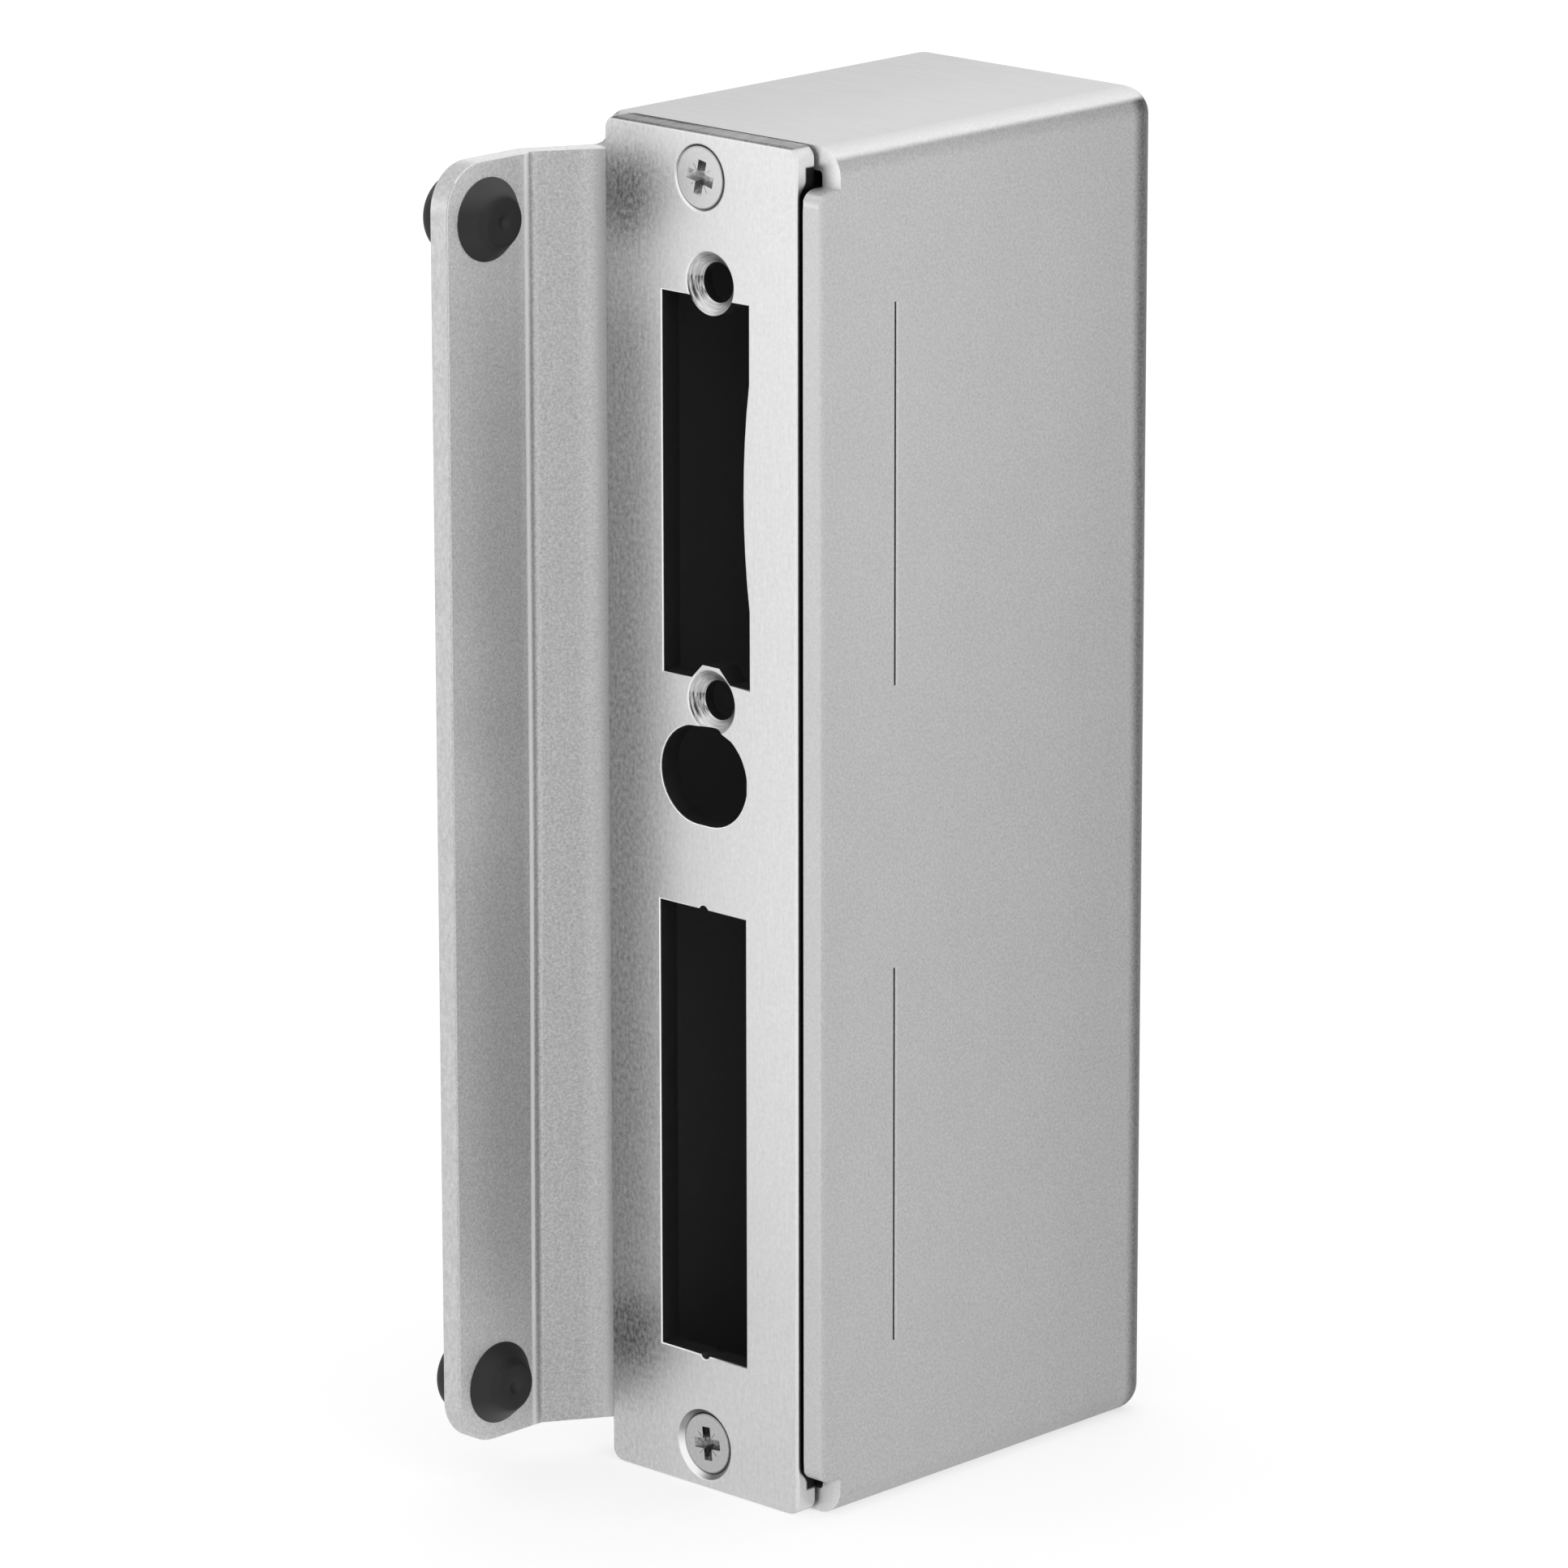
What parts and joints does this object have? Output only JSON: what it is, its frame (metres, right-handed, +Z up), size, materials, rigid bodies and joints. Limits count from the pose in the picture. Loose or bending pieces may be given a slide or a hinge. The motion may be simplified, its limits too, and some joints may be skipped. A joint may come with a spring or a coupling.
{
  "type": "strike box with screwed-on door strike plate, joggled stop flange and rubber buffers",
  "caption": "Deep folded steel strike box for a narrow door post, closed by a punched strike plate, with a slit side wall and a joggled stop flange that carries rubber buffers.",
  "frame": {"origin": "centre of the housing's flat bottom face", "axes": "+X across the plate, away from the stop flange; +Y from the plate's front face to the housing's back; +Z up"},
  "size_m": [0.0497, 0.0813, 0.172],
  "materials": {
    "housing_steel": "fine blasted and ground stainless steel sheet, silver grey, satin",
    "plate_steel": "bright plated steel with a fine upright brush and a soft spangle",
    "screw_steel": "bright plated steel",
    "buffer_rubber": "black rubber, matt",
    "block_steel": "plain machined steel"
  },
  "bodies": {
    "root": {"housing": "housing_steel", "strike_plate": "plate_steel", "plate_screw_top": "screw_steel", "plate_screw_bottom": "screw_steel", "buffer_top": "buffer_rubber", "buffer_bottom": "buffer_rubber", "screw_block_top": "block_steel", "screw_block_bottom": "block_steel"}
  },
  "joints": []
}
